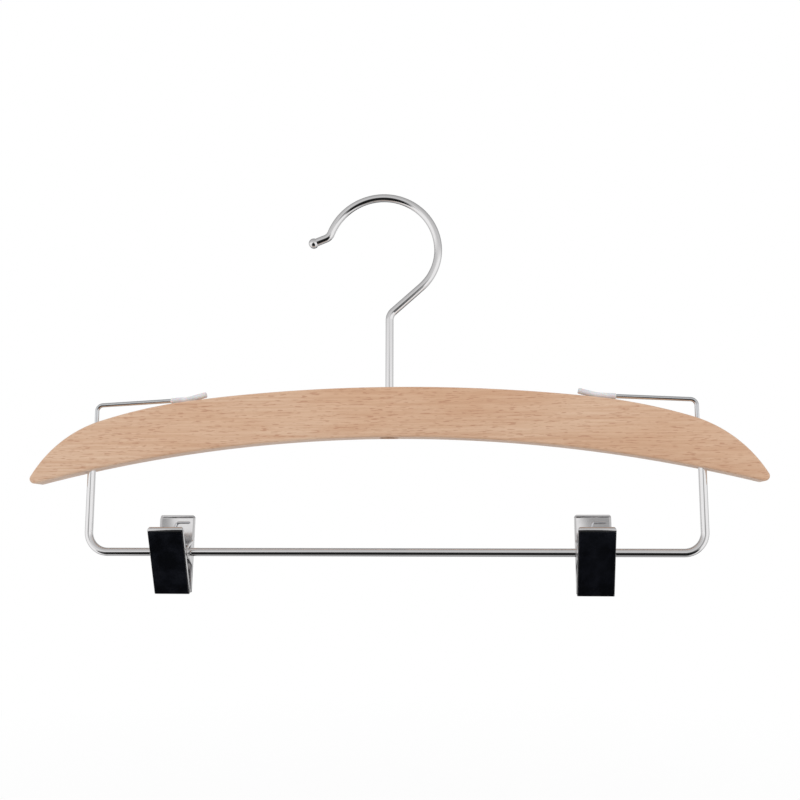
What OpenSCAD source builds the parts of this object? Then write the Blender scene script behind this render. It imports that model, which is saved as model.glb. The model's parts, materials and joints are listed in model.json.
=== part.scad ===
// Trouser hanger: a flat arc of beech on a swivelling wire hook, a wire trouser
// bar with two sprung pinch clips, and two spring wires that hold loops down.
// Millimetres. +Z is up, X runs along the hanger, and the front faces -Y.
// The origin is on the swivel axis, where the inside of the hook sits on a rail.

/* [Wooden arc] */
// Length of the arc from tip to tip
wood_length = 360; // [320:1:420]
// Thickness from front face to back face
wood_thickness = 12; // [11:0.5:18]
// Height of the arc at its middle
wood_mid_height = 24.7; // [22:0.1:34]
// Radius of the crown, the long top curve
crown_radius = 855; // [700:5:1400]
// Radius of the shoulder curve beside the crown
shoulder_radius = 255; // [200:5:400]
// Length of the shoulder curve along X
shoulder_run = 47; // [36:1:60]
// Length of the end curve along X, from the shoulder curve to the tip
end_run = 34.5; // [30:0.5:44]
// Radius of the hollow underside curve
underside_radius = 725; // [650:5:1200]
// Radius of the tip, seen from the front
tip_radius = 2.4; // [2:0.1:4]
// Rounding of the front and back edges
edge_round = 1.2; // [0.5:0.1:1.8]

/* [Hook] */
// Diameter of the hook wire
hook_wire_d = 4; // [3.5:0.1:4.6]
// Inside diameter of the eye that goes over the rail
hook_eye_d = 52.4; // [42:0.1:64]
// Offset of the eye's centre from the swivel axis, towards the mouth
hook_eye_offset = 3.75; // [0:0.05:8]
// Height of the eye's centre above the middle of the wood's top
hook_rise = 70; // [62:0.5:84]
// Centre-line radius of the cheek, the tighter curve below the eye's right side
hook_cheek_r = 24.9; // [20:0.1:26]
// Angle that the cheek turns through below the eye's centre
hook_cheek_angle = 48.8; // [44:0.1:54]
// Centre-line radius of the bend between the slanting run and the stem
hook_stem_bend_r = 6; // [4:0.5:10]
// Angle on the eye at which the tip bends outwards, from the right side
hook_tip_at = 158.5; // [150:0.5:166]
// Angle of the outward bend at the tip
hook_tip_turn = 47.5; // [40:0.5:60]
// Centre-line radius of the outward bend at the tip
hook_tip_bend_r = 5; // [3:0.5:8]
// Length from the outward bend to the ball's centre
hook_tip_run = 6.5; // [4:0.5:9]
// Diameter of the ball end
hook_ball_d = 5.2; // [4.8:0.1:7]

/* [Hook fastening] */
// Radial play of the stem in the wood, so that the hook swivels
swivel_play = 0.1; // [0.05:0.01:0.1]
// Depth of the counterbore under the wood
counterbore_depth = 10; // [8:0.5:12]
// Diameter of the counterbore
counterbore_d = 9.4; // [9.2:0.1:9.8]
// Outside diameter of the washer
washer_d = 9; // [8.6:0.1:9]
// Thickness of the washer
washer_t = 1; // [0.6:0.1:1.4]
// Width of the nut across its flats
nut_flats = 7; // [6.8:0.1:7.4]
// Height of the nut
nut_h = 3.2; // [2.4:0.1:4]
// Gap between the nut and the washer
nut_gap = 0.15; // [0.1:0.05:0.3]
// Length of stem that stands out below the nut
stem_overrun = 1; // [0.5:0.1:1.6]
// Radial clearance of a nut or a wire that is held fast in its hole
held_clearance = 0.05; // [0.02:0.01:0.08]

/* [Trouser bar] */
// Diameter of the bar wire
bar_wire_d = 4; // [3:0.1:4.4]
// Distance from the tip of the arc to the centre line of the bar's leg
bar_inset = 29.8; // [25:0.1:45]
// Depth of the bar's centre line below the middle of the wood's top
bar_drop = 80.3; // [74:0.1:110]
// Centre-line radius of the two corners
bar_bend_r = 10; // [6:0.5:16]
// Depth of the leg sockets in the wood, on their centre line
leg_socket_depth = 11; // [8:0.5:11]

/* [Loop wires] */
// Diameter of the spring wire
loop_wire_d = 2.1; // [1.6:0.1:2.4]
// Distance of the loop wire inboard of the bar's leg
loop_wire_inset = 1.5; // [0:0.1:4]
// Depth of the wire's pressed root in the wood, on its centre line
loop_root_depth = 8; // [5:0.5:8]
// Length of root that stands out above the wood, on its centre line
loop_root_proud = 1; // [0.8:0.1:1.4]
// Length of the short gap at which the wire flexes
loop_flex_gap = 0.3; // [0.2:0.05:0.4]
// Centre-line radius of the upper corner
loop_bend_r = 3; // [2:0.1:4]
// Angle at which the arm rises inwards
loop_arm_rise = 3; // [2:0.1:4]
// Angle of the tip that lifts off the wood
loop_tip_rise = 15; // [12:0.5:22]
// Centre-line radius of the lift at the tip
loop_tip_bend_r = 20; // [16:1:28]
// Straight length at the tip
loop_tip_run = 6.7; // [5:0.1:9]
// Distance from the bar's leg inwards to where the sleeve touches the wood
loop_reach = 48.2; // [42:0.1:52]
// Gap between the sleeve and the wood at rest
loop_rest_gap = 0.1; // [0.05:0.05:0.2]

/* [Loop wire sleeves] */
// Outside diameter of the plastic sleeve
sleeve_d = 2.9; // [2.7:0.1:3.6]
// Length of sleeve on the straight arm before the lift
sleeve_straight = 6.9; // [4:0.1:16]
// Length of the closed end beyond the wire
sleeve_cap = 0.8; // [0.5:0.1:1.5]

/* [Clips] */
// Width of a clip across its jaws
clip_width = 17.6; // [17:0.1:24]
// Thickness of the sheet metal
sheet_t = 0.8; // [0.6:0.05:1]
// Distance from the bar's centre line to the outer face of a jaw
jaw_standoff = 7; // [6.8:0.1:8]
// Length of a jaw from the bar down to its biting edge
jaw_reach = 19.4; // [17:0.1:24]
// Length of the front handle above the bar
front_handle = 15.8; // [15:0.1:22]
// Length of the back handle above the bar
back_handle = 18.6; // [17:0.1:24]
// Tilt of the front jaw, with its handle leaning forwards
front_tilt = 25; // [23:0.5:26]
// Tilt of the back jaw, with its handle leaning back
back_tilt = 4; // [2:0.5:5]
// Corner radius at the top of a jaw's handle, seen from the front
handle_corner_r = 1.4; // [0.8:0.1:2]
// Corner radius at the biting edge of a jaw, seen from the front
bite_corner_r = 0.6; // [0.3:0.1:1.4]
// Outside radius of the rolled edge at the top of a handle
handle_roll_r = 1.5; // [1.3:0.1:1.6]
// Depth of the stiffening edges along a jaw's sides, sheet included
side_edge_depth = 1.6; // [1.4:0.05:1.7]
// Gap between the two biting edges at rest
bite_gap = 0.1; // [0.05:0.05:0.2]
// Outside radius of the ears round the bar
ear_r = 3.8; // [3.4:0.1:4.2]
// Half length of the ears where they leave the jaw
ear_foot = 6.5; // [5.5:0.1:7.5]
// Radial play of the ears on the bar
ear_play = 0.1; // [0.08:0.01:0.1]
// Sideways gap between the ears of the two jaws
ear_gap = 0.25; // [0.2:0.05:0.4]
// Thickness of the black cover on a jaw's outer face
cover_t = 0.6; // [0.4:0.1:1]
// Bare margin of the jaw round its cover
cover_margin = 0.3; // [0.2:0.05:0.8]
// Distance of the left clip's centre from the bar's left leg
left_clip_inset = 42.8; // [34:0.1:90]
// Distance of the right clip's centre from the bar's right leg
right_clip_inset = 51.6; // [34:0.1:90]

/* [Clip springs] */
// Diameter of the spring wire
spring_wire_d = 1.1; // [0.9:0.05:1.2]
// Mean radius of the coil
spring_coil_r = 3.05; // [3:0.05:3.4]
// Number of whole turns in the coil
spring_turns = 6; // [3:1:6]
// Clear gap between neighbouring turns
spring_turn_gap = 0.5; // [0.45:0.05:0.6]
// Height on the front handle at which the front leg turns sideways
front_leg_height = 13; // [12:0.1:14]
// Height on the back handle at which the back leg turns sideways
back_leg_height = 14.9; // [12:0.1:15.4]
// Distance from the clip's middle to the tip of a leg's sideways end
spring_leg_tip_at = 6; // [4:0.1:6.4]
// Distance from the clip's middle to the corner of a leg
spring_leg_corner_at = 0.2; // [0:0.1:1]
// Radius given to the corner of a leg
spring_leg_corner_r = 1.3; // [1.2:0.1:2]
// Gap between a leg and the handle that it pushes
spring_leg_gap = 0.1; // [0.05:0.05:0.3]

/* [Hidden] */

round_fn = 72;
// How far the ball in a wire's joint stands out of the wire
joint_proud = 0.03;
// How far the outline that rounds a jaw's corners stands off its straight edges
outline_ease = 0.05;
// Where the flanks of an ear reach its round end, as a share of the end's radius
ear_flank_share = 0.97;
LEFT = -1;
RIGHT = 1;

wood_colour = [0.80, 0.65, 0.52];
chrome_colour = [0.80, 0.81, 0.83];
steel_colour = [0.66, 0.67, 0.69];
sleeve_colour = [0.86, 0.86, 0.87];
cover_colour = [0.04, 0.045, 0.055];

// Heights, from the rail seat down
eye_r = hook_eye_d / 2;
eye_line_r = eye_r + hook_wire_d / 2;
eye_z = -sqrt(pow(eye_r, 2) - pow(hook_eye_offset, 2));
wood_top = eye_z - hook_rise;
bar_z = wood_top - bar_drop;

// Places along the bar, from the tips of the arc inwards
bar_span = wood_length - 2 * bar_inset;
loop_rest_at = bar_span / 2 - loop_reach;
left_clip_at = bar_span / 2 - left_clip_inset;
right_clip_at = bar_span / 2 - right_clip_inset;

// Wood outline: angles are those of the outward normal, from +Z towards the tip
half_length = wood_length / 2;
shoulder_end = half_length - end_run;
crown_half = shoulder_end - shoulder_run;
crown_angle = asin(crown_half / crown_radius);
crown_c = [0, wood_top - crown_radius];
shoulder_c = crown_c + (crown_radius - shoulder_radius) * [sin(crown_angle), cos(crown_angle)];
shoulder_angle = asin((shoulder_end - shoulder_c.x) / shoulder_radius);
shoulder_n = [sin(shoulder_angle), cos(shoulder_angle)];
shoulder_p = shoulder_c + shoulder_radius * shoulder_n;
under_c = [0, wood_top - wood_mid_height - underside_radius];
tip_x = half_length - tip_radius;
tip_c = [tip_x, under_c.y + sqrt(pow(underside_radius + tip_radius, 2) - pow(tip_x, 2))];
tip_v = shoulder_p - tip_c;
end_radius = (tip_v * tip_v - pow(tip_radius, 2)) / (2 * (tip_v * shoulder_n - tip_radius));
end_c = shoulder_p - end_radius * shoulder_n;
end_angle = atan2(tip_c.x - end_c.x, tip_c.y - end_c.y);
under_angle = asin(tip_x / (underside_radius + tip_radius));

crown_steps = 12;
shoulder_steps = 8;
end_steps = 14;
tip_steps = 10;
under_steps = 22;
edge_steps = 4;

function on_arc(c, r, a) = c + r * [sin(a), cos(a)];

// The right half of the outline, drawn in by inset all round
function half_outline(inset) = concat(
    [for (i = [0:crown_steps - 1])
        on_arc(crown_c, crown_radius - inset, crown_angle * i / crown_steps)],
    [for (i = [0:shoulder_steps - 1])
        on_arc(shoulder_c, shoulder_radius - inset,
               crown_angle + (shoulder_angle - crown_angle) * i / shoulder_steps)],
    [for (i = [0:end_steps - 1])
        on_arc(end_c, end_radius - inset,
               shoulder_angle + (end_angle - shoulder_angle) * i / end_steps)],
    [for (i = [0:tip_steps - 1])
        on_arc(tip_c, tip_radius - inset,
               end_angle + (180 + under_angle - end_angle) * i / tip_steps)],
    [for (i = [0:under_steps])
        on_arc(under_c, underside_radius + inset, under_angle * (1 - i / under_steps))]
);

// The whole outline, clockwise from the middle of the top
function wood_outline(inset) =
    let (half = half_outline(inset), n = len(half))
    concat(half, [for (i = [n - 2:-1:1]) [-half[i].x, half[i].y]]);

// Insets and depths of the outline's layers, from the front face to the back face
wood_layers = concat(
    [for (i = [0:edge_steps])
        [edge_round * (1 - sin(90 * i / edge_steps)),
         -wood_thickness / 2 + edge_round * (1 - cos(90 * i / edge_steps))]],
    [for (i = [edge_steps:-1:0])
        [edge_round * (1 - sin(90 * i / edge_steps)),
         wood_thickness / 2 - edge_round * (1 - cos(90 * i / edge_steps))]]
);

// Height of the wood's top and underside at a distance from the middle
function top_z(x) =
    abs(x) < crown_half ? crown_c.y + sqrt(pow(crown_radius, 2) - pow(x, 2)) :
    abs(x) < shoulder_end ?
        shoulder_c.y + sqrt(pow(shoulder_radius, 2) - pow(abs(x) - shoulder_c.x, 2)) :
        end_c.y + sqrt(pow(end_radius, 2) - pow(abs(x) - end_c.x, 2));
function under_z(x) = under_c.y + sqrt(pow(underside_radius, 2) - pow(x, 2));

// Hook: the slanting run is tangent to the cheek and to the stem's bend
cheek_c = [-hook_eye_offset + eye_line_r - hook_cheek_r, eye_z];
cheek_out = [cos(hook_cheek_angle), -sin(hook_cheek_angle)];
cheek_end = cheek_c + hook_cheek_r * cheek_out;
slant_dir = [-sin(hook_cheek_angle), -cos(hook_cheek_angle)];
stem_bend_z = cheek_end.y - (cheek_end.x - hook_stem_bend_r
    + hook_stem_bend_r * cheek_out.x) / sin(hook_cheek_angle) * cos(hook_cheek_angle);
stem_bend_c = cheek_end + slant_dir * (cheek_end.x - hook_stem_bend_r
    + hook_stem_bend_r * cheek_out.x) / sin(hook_cheek_angle) + hook_stem_bend_r * cheek_out;
eye_c = [-hook_eye_offset, eye_z];
tip_start = eye_c + eye_line_r * [cos(hook_tip_at), sin(hook_tip_at)];
tip_bend_c = tip_start + hook_tip_bend_r * [cos(hook_tip_at), sin(hook_tip_at)];
tip_end_angle = hook_tip_at + 180 - hook_tip_turn;
tip_bend_end = tip_bend_c + hook_tip_bend_r * [cos(tip_end_angle), sin(tip_end_angle)];
ball_c = tip_bend_end + hook_tip_run * [sin(tip_end_angle), -cos(tip_end_angle)];

// Hook fastening
seat_z = under_z(0) + counterbore_depth;
nut_top = seat_z - washer_t - nut_gap;
stem_end = nut_top - nut_h - stem_overrun;
hole_grip_d = hook_wire_d + 2 * held_clearance;

// Loop wire, on the right side
loop_x = bar_span / 2 - loop_wire_inset;
sleeve_r = sleeve_d / 2;
rest_angle = asin((loop_rest_at - shoulder_c.x) / shoulder_radius);
lift_c = shoulder_c + (shoulder_radius + loop_rest_gap + sleeve_r + loop_tip_bend_r)
    * [sin(rest_angle), cos(rest_angle)];
arm_end = lift_c - loop_tip_bend_r * [sin(loop_arm_rise), cos(loop_arm_rise)];
lift_end = lift_c - loop_tip_bend_r * [sin(loop_tip_rise), cos(loop_tip_rise)];
tip_end = lift_end + loop_tip_run * [-cos(loop_tip_rise), sin(loop_tip_rise)];
corner_x = loop_x - loop_bend_r;
corner_z = (sin(loop_arm_rise) * (arm_end.x - corner_x) + cos(loop_arm_rise) * arm_end.y
    - loop_bend_r) / cos(loop_arm_rise);
corner_c = [corner_x, corner_z];
arm_start = corner_c + loop_bend_r * [sin(loop_arm_rise), cos(loop_arm_rise)];
root_top = top_z(loop_x) + loop_root_proud;
root_bottom = top_z(loop_x) - loop_root_depth;
sleeve_start = arm_end + sleeve_straight * [cos(loop_arm_rise), -sin(loop_arm_rise)];

// Clips: a jaw is drawn flat, with u up along its plate and v out from the bar
bite_depth = (jaw_meet_gap() - bite_gap) / 2;
inner_face = jaw_standoff - sheet_t;
ear_hole_r = bar_wire_d / 2 + ear_play;
back_ear_x = clip_width / 2 - sheet_t;
front_ear_x = back_ear_x - ear_gap - sheet_t;

// Distance between the two outer faces where the jaws bite
function jaw_meet_gap() =
    let (front = -jaw_standoff * cos(front_tilt) + jaw_reach * sin(front_tilt),
         back = jaw_standoff * cos(back_tilt) - jaw_reach * sin(back_tilt))
    back - front;

// A wire arc in the XZ plane, from angle a0 to a1 about c
module wire_arc(c, r, a0, a1, d) {
    translate([c.x, 0, c.y])
        rotate([90, 0, 0])
            rotate([0, 0, a0])
                rotate_extrude(angle = a1 - a0, $fn = round_fn * 2)
                    translate([r, 0])
                        circle(d = d, $fn = round_fn / 2);
}

// A ball, a hair wider than the wire, that closes the joints between runs and arcs
module wire_joints(places, d) {
    for (p = places)
        translate([p.x, 0, p.y])
            sphere(d = d + 2 * joint_proud, $fn = round_fn / 3);
}

// A straight wire in the XZ plane, from p to q
module wire_run(p, q, d) {
    translate([p.x, 0, p.y])
        rotate([0, atan2(q.x - p.x, q.y - p.y), 0])
            cylinder(h = norm(q - p), d = d, $fn = round_fn / 2);
}

// The beech arc, bored for the hook, the bar's legs and the loop wires
module wood_body() {
    ring = len(wood_outline(0));
    layers = len(wood_layers);
    points = [for (layer = wood_layers, p = wood_outline(layer[0])) [p.x, layer[1], p.y]];
    walls = [for (k = [0:layers - 2], i = [0:ring - 1])
        let (a = k * ring + i, b = k * ring + (i + 1) % ring)
        each [[a, a + ring, b + ring], [a, b + ring, b]]];
    front = [for (i = [0:ring - 1]) i];
    back = [for (i = [ring - 1:-1:0]) (layers - 1) * ring + i];
    color(wood_colour) difference() {
        polyhedron(points = points, faces = concat([front], walls, [back]), convexity = 4);
        translate([0, 0, seat_z - 1])
            cylinder(h = wood_mid_height, r = hook_wire_d / 2 + swivel_play, $fn = round_fn);
        translate([0, 0, seat_z - counterbore_depth - 1])
            cylinder(h = counterbore_depth + 1, d = counterbore_d, $fn = round_fn);
        for (side = [LEFT, RIGHT]) {
            translate([side * bar_span / 2, 0, under_z(bar_span / 2) + leg_socket_depth - wood_mid_height])
                cylinder(h = wood_mid_height, d = bar_wire_d + 2 * held_clearance, $fn = round_fn);
            translate([side * loop_x, 0, root_bottom])
                cylinder(h = wood_mid_height, d = loop_wire_d + 2 * held_clearance, $fn = round_fn);
        }
    }
}

// The hook, one bent wire from its ball end to the foot of its stem
module hook() {
    stem_bend_end = [0, stem_bend_c.y];
    slant_end = stem_bend_c - hook_stem_bend_r * cheek_out;
    color(chrome_colour) {
        translate([ball_c.x, 0, ball_c.y])
            sphere(d = hook_ball_d, $fn = round_fn);
        wire_run(tip_bend_end, ball_c, hook_wire_d);
        wire_arc(tip_bend_c, hook_tip_bend_r, tip_end_angle, hook_tip_at + 180, hook_wire_d);
        wire_arc(eye_c, eye_line_r, 0, hook_tip_at, hook_wire_d);
        wire_arc(cheek_c, hook_cheek_r, -hook_cheek_angle, 0, hook_wire_d);
        wire_run(slant_end, cheek_end, hook_wire_d);
        wire_arc(stem_bend_c, hook_stem_bend_r, 180 - hook_cheek_angle, 180, hook_wire_d);
        wire_run([0, stem_end], stem_bend_end, hook_wire_d);
        wire_joints([tip_bend_end, tip_start, eye_c + [eye_line_r, 0], cheek_end, slant_end,
                     stem_bend_end], hook_wire_d);
    }
}

// The washer that seats in the counterbore
module hook_washer() {
    color(steel_colour)
        translate([0, 0, seat_z - washer_t])
            difference() {
                cylinder(h = washer_t, d = washer_d, $fn = round_fn);
                translate([0, 0, -1])
                    cylinder(h = washer_t + 2, r = hook_wire_d / 2 + swivel_play, $fn = round_fn);
            }
}

// The nut that is locked on the stem below the washer
module hook_nut() {
    color(steel_colour)
        translate([0, 0, nut_top - nut_h])
            difference() {
                intersection() {
                    cylinder(h = nut_h, d = nut_flats / cos(30), $fn = 6);
                    cylinder(h = nut_h, d = nut_flats / cos(30) - 0.3, $fn = round_fn);
                }
                translate([0, 0, -1])
                    cylinder(h = nut_h + 2, d = hole_grip_d, $fn = round_fn);
            }
}

// The trouser bar, one wire with its two legs set in the wood
module trouser_bar() {
    half = bar_span / 2;
    socket_top = under_z(half) + leg_socket_depth;
    corner = bar_z + bar_bend_r;
    color(chrome_colour) {
        wire_run([-half + bar_bend_r, bar_z], [half - bar_bend_r, bar_z], bar_wire_d);
        wire_arc([half - bar_bend_r, corner], bar_bend_r, -90, 0, bar_wire_d);
        wire_arc([-half + bar_bend_r, corner], bar_bend_r, 180, 270, bar_wire_d);
        for (side = [LEFT, RIGHT])
            wire_run([side * half, corner], [side * half, socket_top], bar_wire_d);
    }
}

// Puts a right-hand shape on either side of the hanger
module on_side(side) {
    mirror([side == LEFT ? 1 : 0, 0, 0]) children();
}

// The root of a loop wire, pressed into the wood
module loop_wire_root(side) {
    color(chrome_colour) on_side(side)
        wire_run([loop_x, root_bottom], [loop_x, root_top], loop_wire_d);
}

// The flexing part of a loop wire, from its root to its lifted tip
module loop_wire(side) {
    color(chrome_colour) on_side(side) {
        wire_run([loop_x, root_top + loop_flex_gap], [loop_x, corner_c.y], loop_wire_d);
        wire_arc(corner_c, loop_bend_r, 0, 90 - loop_arm_rise, loop_wire_d);
        wire_run(arm_end, arm_start, loop_wire_d);
        wire_arc(lift_c, loop_tip_bend_r, 270 - loop_tip_rise, 270 - loop_arm_rise, loop_wire_d);
        wire_run(tip_end, lift_end, loop_wire_d);
        wire_joints([[loop_x, corner_c.y], arm_start, arm_end, lift_end], loop_wire_d);
    }
}

// The solid path of a sleeve, at diameter d and with its cap out to cap
module sleeve_path(d, cap, tail) {
    out = [-cos(loop_tip_rise), sin(loop_tip_rise)];
    back = [cos(loop_arm_rise), -sin(loop_arm_rise)];
    wire_run(arm_end, sleeve_start + tail * back, d);
    wire_arc(lift_c, loop_tip_bend_r, 270 - loop_tip_rise, 270 - loop_arm_rise, d);
    wire_run(tip_end + cap * out, lift_end, d);
    wire_joints([arm_end, lift_end], d);
}

// The plastic sleeve over the end of a loop wire, closed at its tip
module loop_wire_sleeve(side) {
    color(sleeve_colour) on_side(side)
        difference() {
            sleeve_path(sleeve_d, sleeve_cap, 0);
            sleeve_path(loop_wire_d + 2 * held_clearance, held_clearance, 1);
        }
}

// A jaw's plate with its rolled handle edge and its biting edge, as a section
module jaw_section(handle) {
    roll_inner = handle_roll_r - sheet_t;
    straight_top = handle - handle_roll_r;
    translate([-jaw_reach, inner_face])
        square([jaw_reach + straight_top, sheet_t]);
    translate([-jaw_reach, jaw_standoff - bite_depth])
        square([sheet_t, bite_depth]);
    intersection() {
        translate([straight_top, jaw_standoff - handle_roll_r])
            difference() {
                circle(r = handle_roll_r, $fn = round_fn);
                circle(r = roll_inner, $fn = round_fn);
            }
        translate([straight_top, jaw_standoff - handle_roll_r])
            square(handle_roll_r);
    }
}

// The stiffening edge along one side of a jaw, as a section
module side_edge_section(handle) {
    translate([-jaw_reach, jaw_standoff - side_edge_depth])
        square([jaw_reach + handle - handle_roll_r, side_edge_depth]);
}

// An ear round the bar, with straight flanks that run into its round end
module ear_section() {
    foot = [ear_foot, inner_face];
    flank = atan2(foot.y, foot.x) - acos(ear_r / norm(foot));
    touch = ear_flank_share * ear_r * [cos(flank), sin(flank)];
    difference() {
        union() {
            circle(r = ear_r, $fn = round_fn);
            polygon([[-foot.x, foot.y], [-touch.x, touch.y], touch, foot]);
        }
        circle(r = ear_hole_r, $fn = round_fn);
    }
}

// A band of a jaw: a section in u and v, extruded from x0 to x1 across the clip
module jaw_band(x0, x1) {
    translate([x0, 0, 0])
        rotate([0, -90, 0])
            mirror([0, 0, 1])
                linear_extrude(height = x1 - x0)
                    children();
}

// A flat outline with round corners, r_low at its lower edge and r_high at its upper
module round_plate(half, low, high, r_low, r_high) {
    translate([-half, low + r_low])
        square([2 * half, high - low - r_low - r_high]);
    translate([r_low - half, low])
        square([2 * (half - r_low), 2 * r_low]);
    translate([r_high - half, high - 2 * r_high])
        square([2 * (half - r_high), 2 * r_high]);
    for (side = [LEFT, RIGHT]) {
        translate([side * (half - r_low), low + r_low])
            circle(r = r_low, $fn = round_fn);
        translate([side * (half - r_high), high - r_high])
            circle(r = r_high, $fn = round_fn);
    }
}

// A sheet-thick band of a jaw on one side, with its outer face at x
module side_band(side, x) {
    jaw_band(side * (x - sheet_t / 2) - sheet_t / 2, side * (x - sheet_t / 2) + sheet_t / 2)
        children();
}

// The outline of a jaw seen from the front, as deep as the jaw and its ears
module jaw_outline(handle) {
    translate([0, -ear_r - 1, 0])
        rotate([-90, 0, 0])
            mirror([0, 1, 0])
                linear_extrude(height = jaw_standoff + ear_r + 2)
                    round_plate(clip_width / 2 + outline_ease, -jaw_reach - outline_ease,
                                handle + outline_ease, bite_corner_r, handle_corner_r);
}

// One pressed jaw, flat: x across, y out from the bar, z up along the plate
module jaw(handle, ear_x) {
    half = clip_width / 2;
    intersection() {
        union() {
            jaw_band(-half, half) jaw_section(handle);
            for (side = [LEFT, RIGHT]) {
                if (ear_x < half - sheet_t) {
                    side_band(side, half) side_edge_section(handle);
                    side_band(side, ear_x + sheet_t) ear_section();
                } else {
                    side_band(side, half) {
                        side_edge_section(handle);
                        ear_section();
                    }
                }
            }
        }
        jaw_outline(handle);
    }
}

// The cover on a jaw's outer face, flat like the jaw
module jaw_cover(handle) {
    translate([0, jaw_standoff, 0])
        rotate([-90, 0, 0])
            mirror([0, 1, 0])
                linear_extrude(height = cover_t)
                    round_plate(clip_width / 2 - cover_margin, -jaw_reach + cover_margin,
                                handle - handle_roll_r, bite_corner_r, bite_corner_r);
}

// Sets a flat jaw on the bar, leaning back
module lean_back() {
    rotate([-back_tilt, 0, 0]) children();
}

// Sets a flat jaw on the bar, turned to the front and leaning forwards
module lean_front() {
    rotate([front_tilt, 0, 0]) mirror([0, 1, 0]) children();
}

// Moves a clip piece to its place on the bar
module at_clip(side) {
    translate([side == LEFT ? -left_clip_at : right_clip_at, 0, bar_z]) children();
}

module clip_front_jaw(side) {
    color(chrome_colour) at_clip(side) lean_front() jaw(front_handle, front_ear_x);
}

module clip_front_cover(side) {
    color(cover_colour) at_clip(side) lean_front() jaw_cover(front_handle);
}

module clip_back_jaw(side) {
    color(chrome_colour) at_clip(side) lean_back() jaw(back_handle, back_ear_x);
}

module clip_back_cover(side) {
    color(cover_colour) at_clip(side) lean_back() jaw_cover(back_handle);
}

// Spring: the path of its centre line, from the back leg round the bar to the front leg
rings_per_turn = 8;
tube_sides = 6;
corner_rings = 4;
leg_v = inner_face - spring_leg_gap - spring_wire_d / 2;
function leg_touch(height) = acos(spring_coil_r / norm([leg_v, height])) - atan2(height, leg_v);
coil_start = -back_tilt - leg_touch(back_leg_height);
coil_end = -(360 * spring_turns + 180) + front_tilt + leg_touch(front_leg_height);
coil_turns = (coil_start - coil_end) / 360;
coil_half = (spring_wire_d + spring_turn_gap) * coil_turns / 2;
coil_steps = round(coil_turns * rings_per_turn);

function coil_point(i) =
    let (a = coil_start + (coil_end - coil_start) * i / coil_steps)
    [coil_half * (2 * i / coil_steps - 1), spring_coil_r * cos(a), spring_coil_r * sin(a)];

// A leg from its sideways tip to its corner, which is bent over towards the coil
function leg_points(tip, corner, coil) =
    let (p = corner + spring_leg_corner_r * unit(tip - corner),
         q = corner + spring_leg_corner_r * unit(coil - corner))
    concat([tip, tip + spring_wire_d * unit(corner - tip)],
           [for (i = [0:corner_rings])
               let (t = i / corner_rings)
               pow(1 - t, 2) * p + 2 * t * (1 - t) * corner + pow(t, 2) * q]);

// A point on the inside of a handle: x across, at the height and distance of the legs
function on_back(x) = [x, back_leg_height * sin(back_tilt) + leg_v * cos(back_tilt),
                       back_leg_height * cos(back_tilt) - leg_v * sin(back_tilt)];
function on_front(x) = [x, -front_leg_height * sin(front_tilt) - leg_v * cos(front_tilt),
                        front_leg_height * cos(front_tilt) - leg_v * sin(front_tilt)];
function reversed(list) = [for (i = [len(list) - 1:-1:0]) list[i]];

spring_path = concat(
    leg_points(on_back(spring_leg_tip_at), on_back(-spring_leg_corner_at), coil_point(0)),
    [for (i = [0:coil_steps]) coil_point(i)],
    reversed(leg_points(on_front(-spring_leg_tip_at), on_front(spring_leg_corner_at),
                        coil_point(coil_steps)))
);

function unit(v) = v / norm(v);
function tangent(path, i) =
    unit(path[min(i + 1, len(path) - 1)] - path[max(i - 1, 0)]);

// Ring directions carried along the path without twist
function carried(path) = [
    for (i = 0, n = unit(cross(tangent(path, 0), [0, 0.3, 1]));
         i < len(path);
         i = i + 1, n = i < len(path) ? unit(n - (n * tangent(path, i)) * tangent(path, i)) : n)
        n
];

// One unbroken tube along a path
module tube(path, d) {
    n = carried(path);
    points = [for (i = [0:len(path) - 1], k = [0:tube_sides - 1])
        let (t = tangent(path, i), b = cross(t, n[i]), a = 360 * k / tube_sides)
        path[i] + d / 2 * (cos(a) * n[i] + sin(a) * b)];
    last = (len(path) - 1) * tube_sides;
    walls = [for (i = [0:len(path) - 2], k = [0:tube_sides - 1])
        let (a = i * tube_sides + k, b = i * tube_sides + (k + 1) % tube_sides)
        each [[a, b + tube_sides, b], [a, a + tube_sides, b + tube_sides]]];
    start = [for (k = [1:tube_sides - 2]) [0, k, k + 1]];
    finish = [for (k = [1:tube_sides - 2]) [last, last + k + 1, last + k]];
    polyhedron(points = points, faces = concat(start, walls, finish), convexity = 6);
}

// Least clear gap between parts of the path that are over half a turn apart
function least_gap(path, d) = min([
    for (i = [0:len(path) - 1], j = [i + rings_per_turn / 2:1:len(path) - 1])
        norm(path[i] - path[j])]) - d;

module clip_spring(side) {
    echo(spring_least_gap = least_gap(spring_path, spring_wire_d));
    color(steel_colour) at_clip(side) tube(spring_path, spring_wire_d);
}

wood_body();
hook();
hook_washer();
hook_nut();
trouser_bar();
loop_wire_root(LEFT);  // left_loop_wire_root
loop_wire(LEFT);  // left_loop_wire
loop_wire_sleeve(LEFT);  // left_loop_wire_sleeve
loop_wire_root(RIGHT);  // right_loop_wire_root
loop_wire(RIGHT);  // right_loop_wire
loop_wire_sleeve(RIGHT);  // right_loop_wire_sleeve
clip_front_jaw(LEFT);  // left_clip_front_jaw
clip_front_cover(LEFT);  // left_clip_front_cover
clip_back_jaw(LEFT);  // left_clip_back_jaw
clip_back_cover(LEFT);  // left_clip_back_cover
clip_spring(LEFT);  // left_clip_spring
clip_front_jaw(RIGHT);  // right_clip_front_jaw
clip_front_cover(RIGHT);  // right_clip_front_cover
clip_back_jaw(RIGHT);  // right_clip_back_jaw
clip_back_cover(RIGHT);  // right_clip_back_cover
clip_spring(RIGHT);  // right_clip_spring
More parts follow.
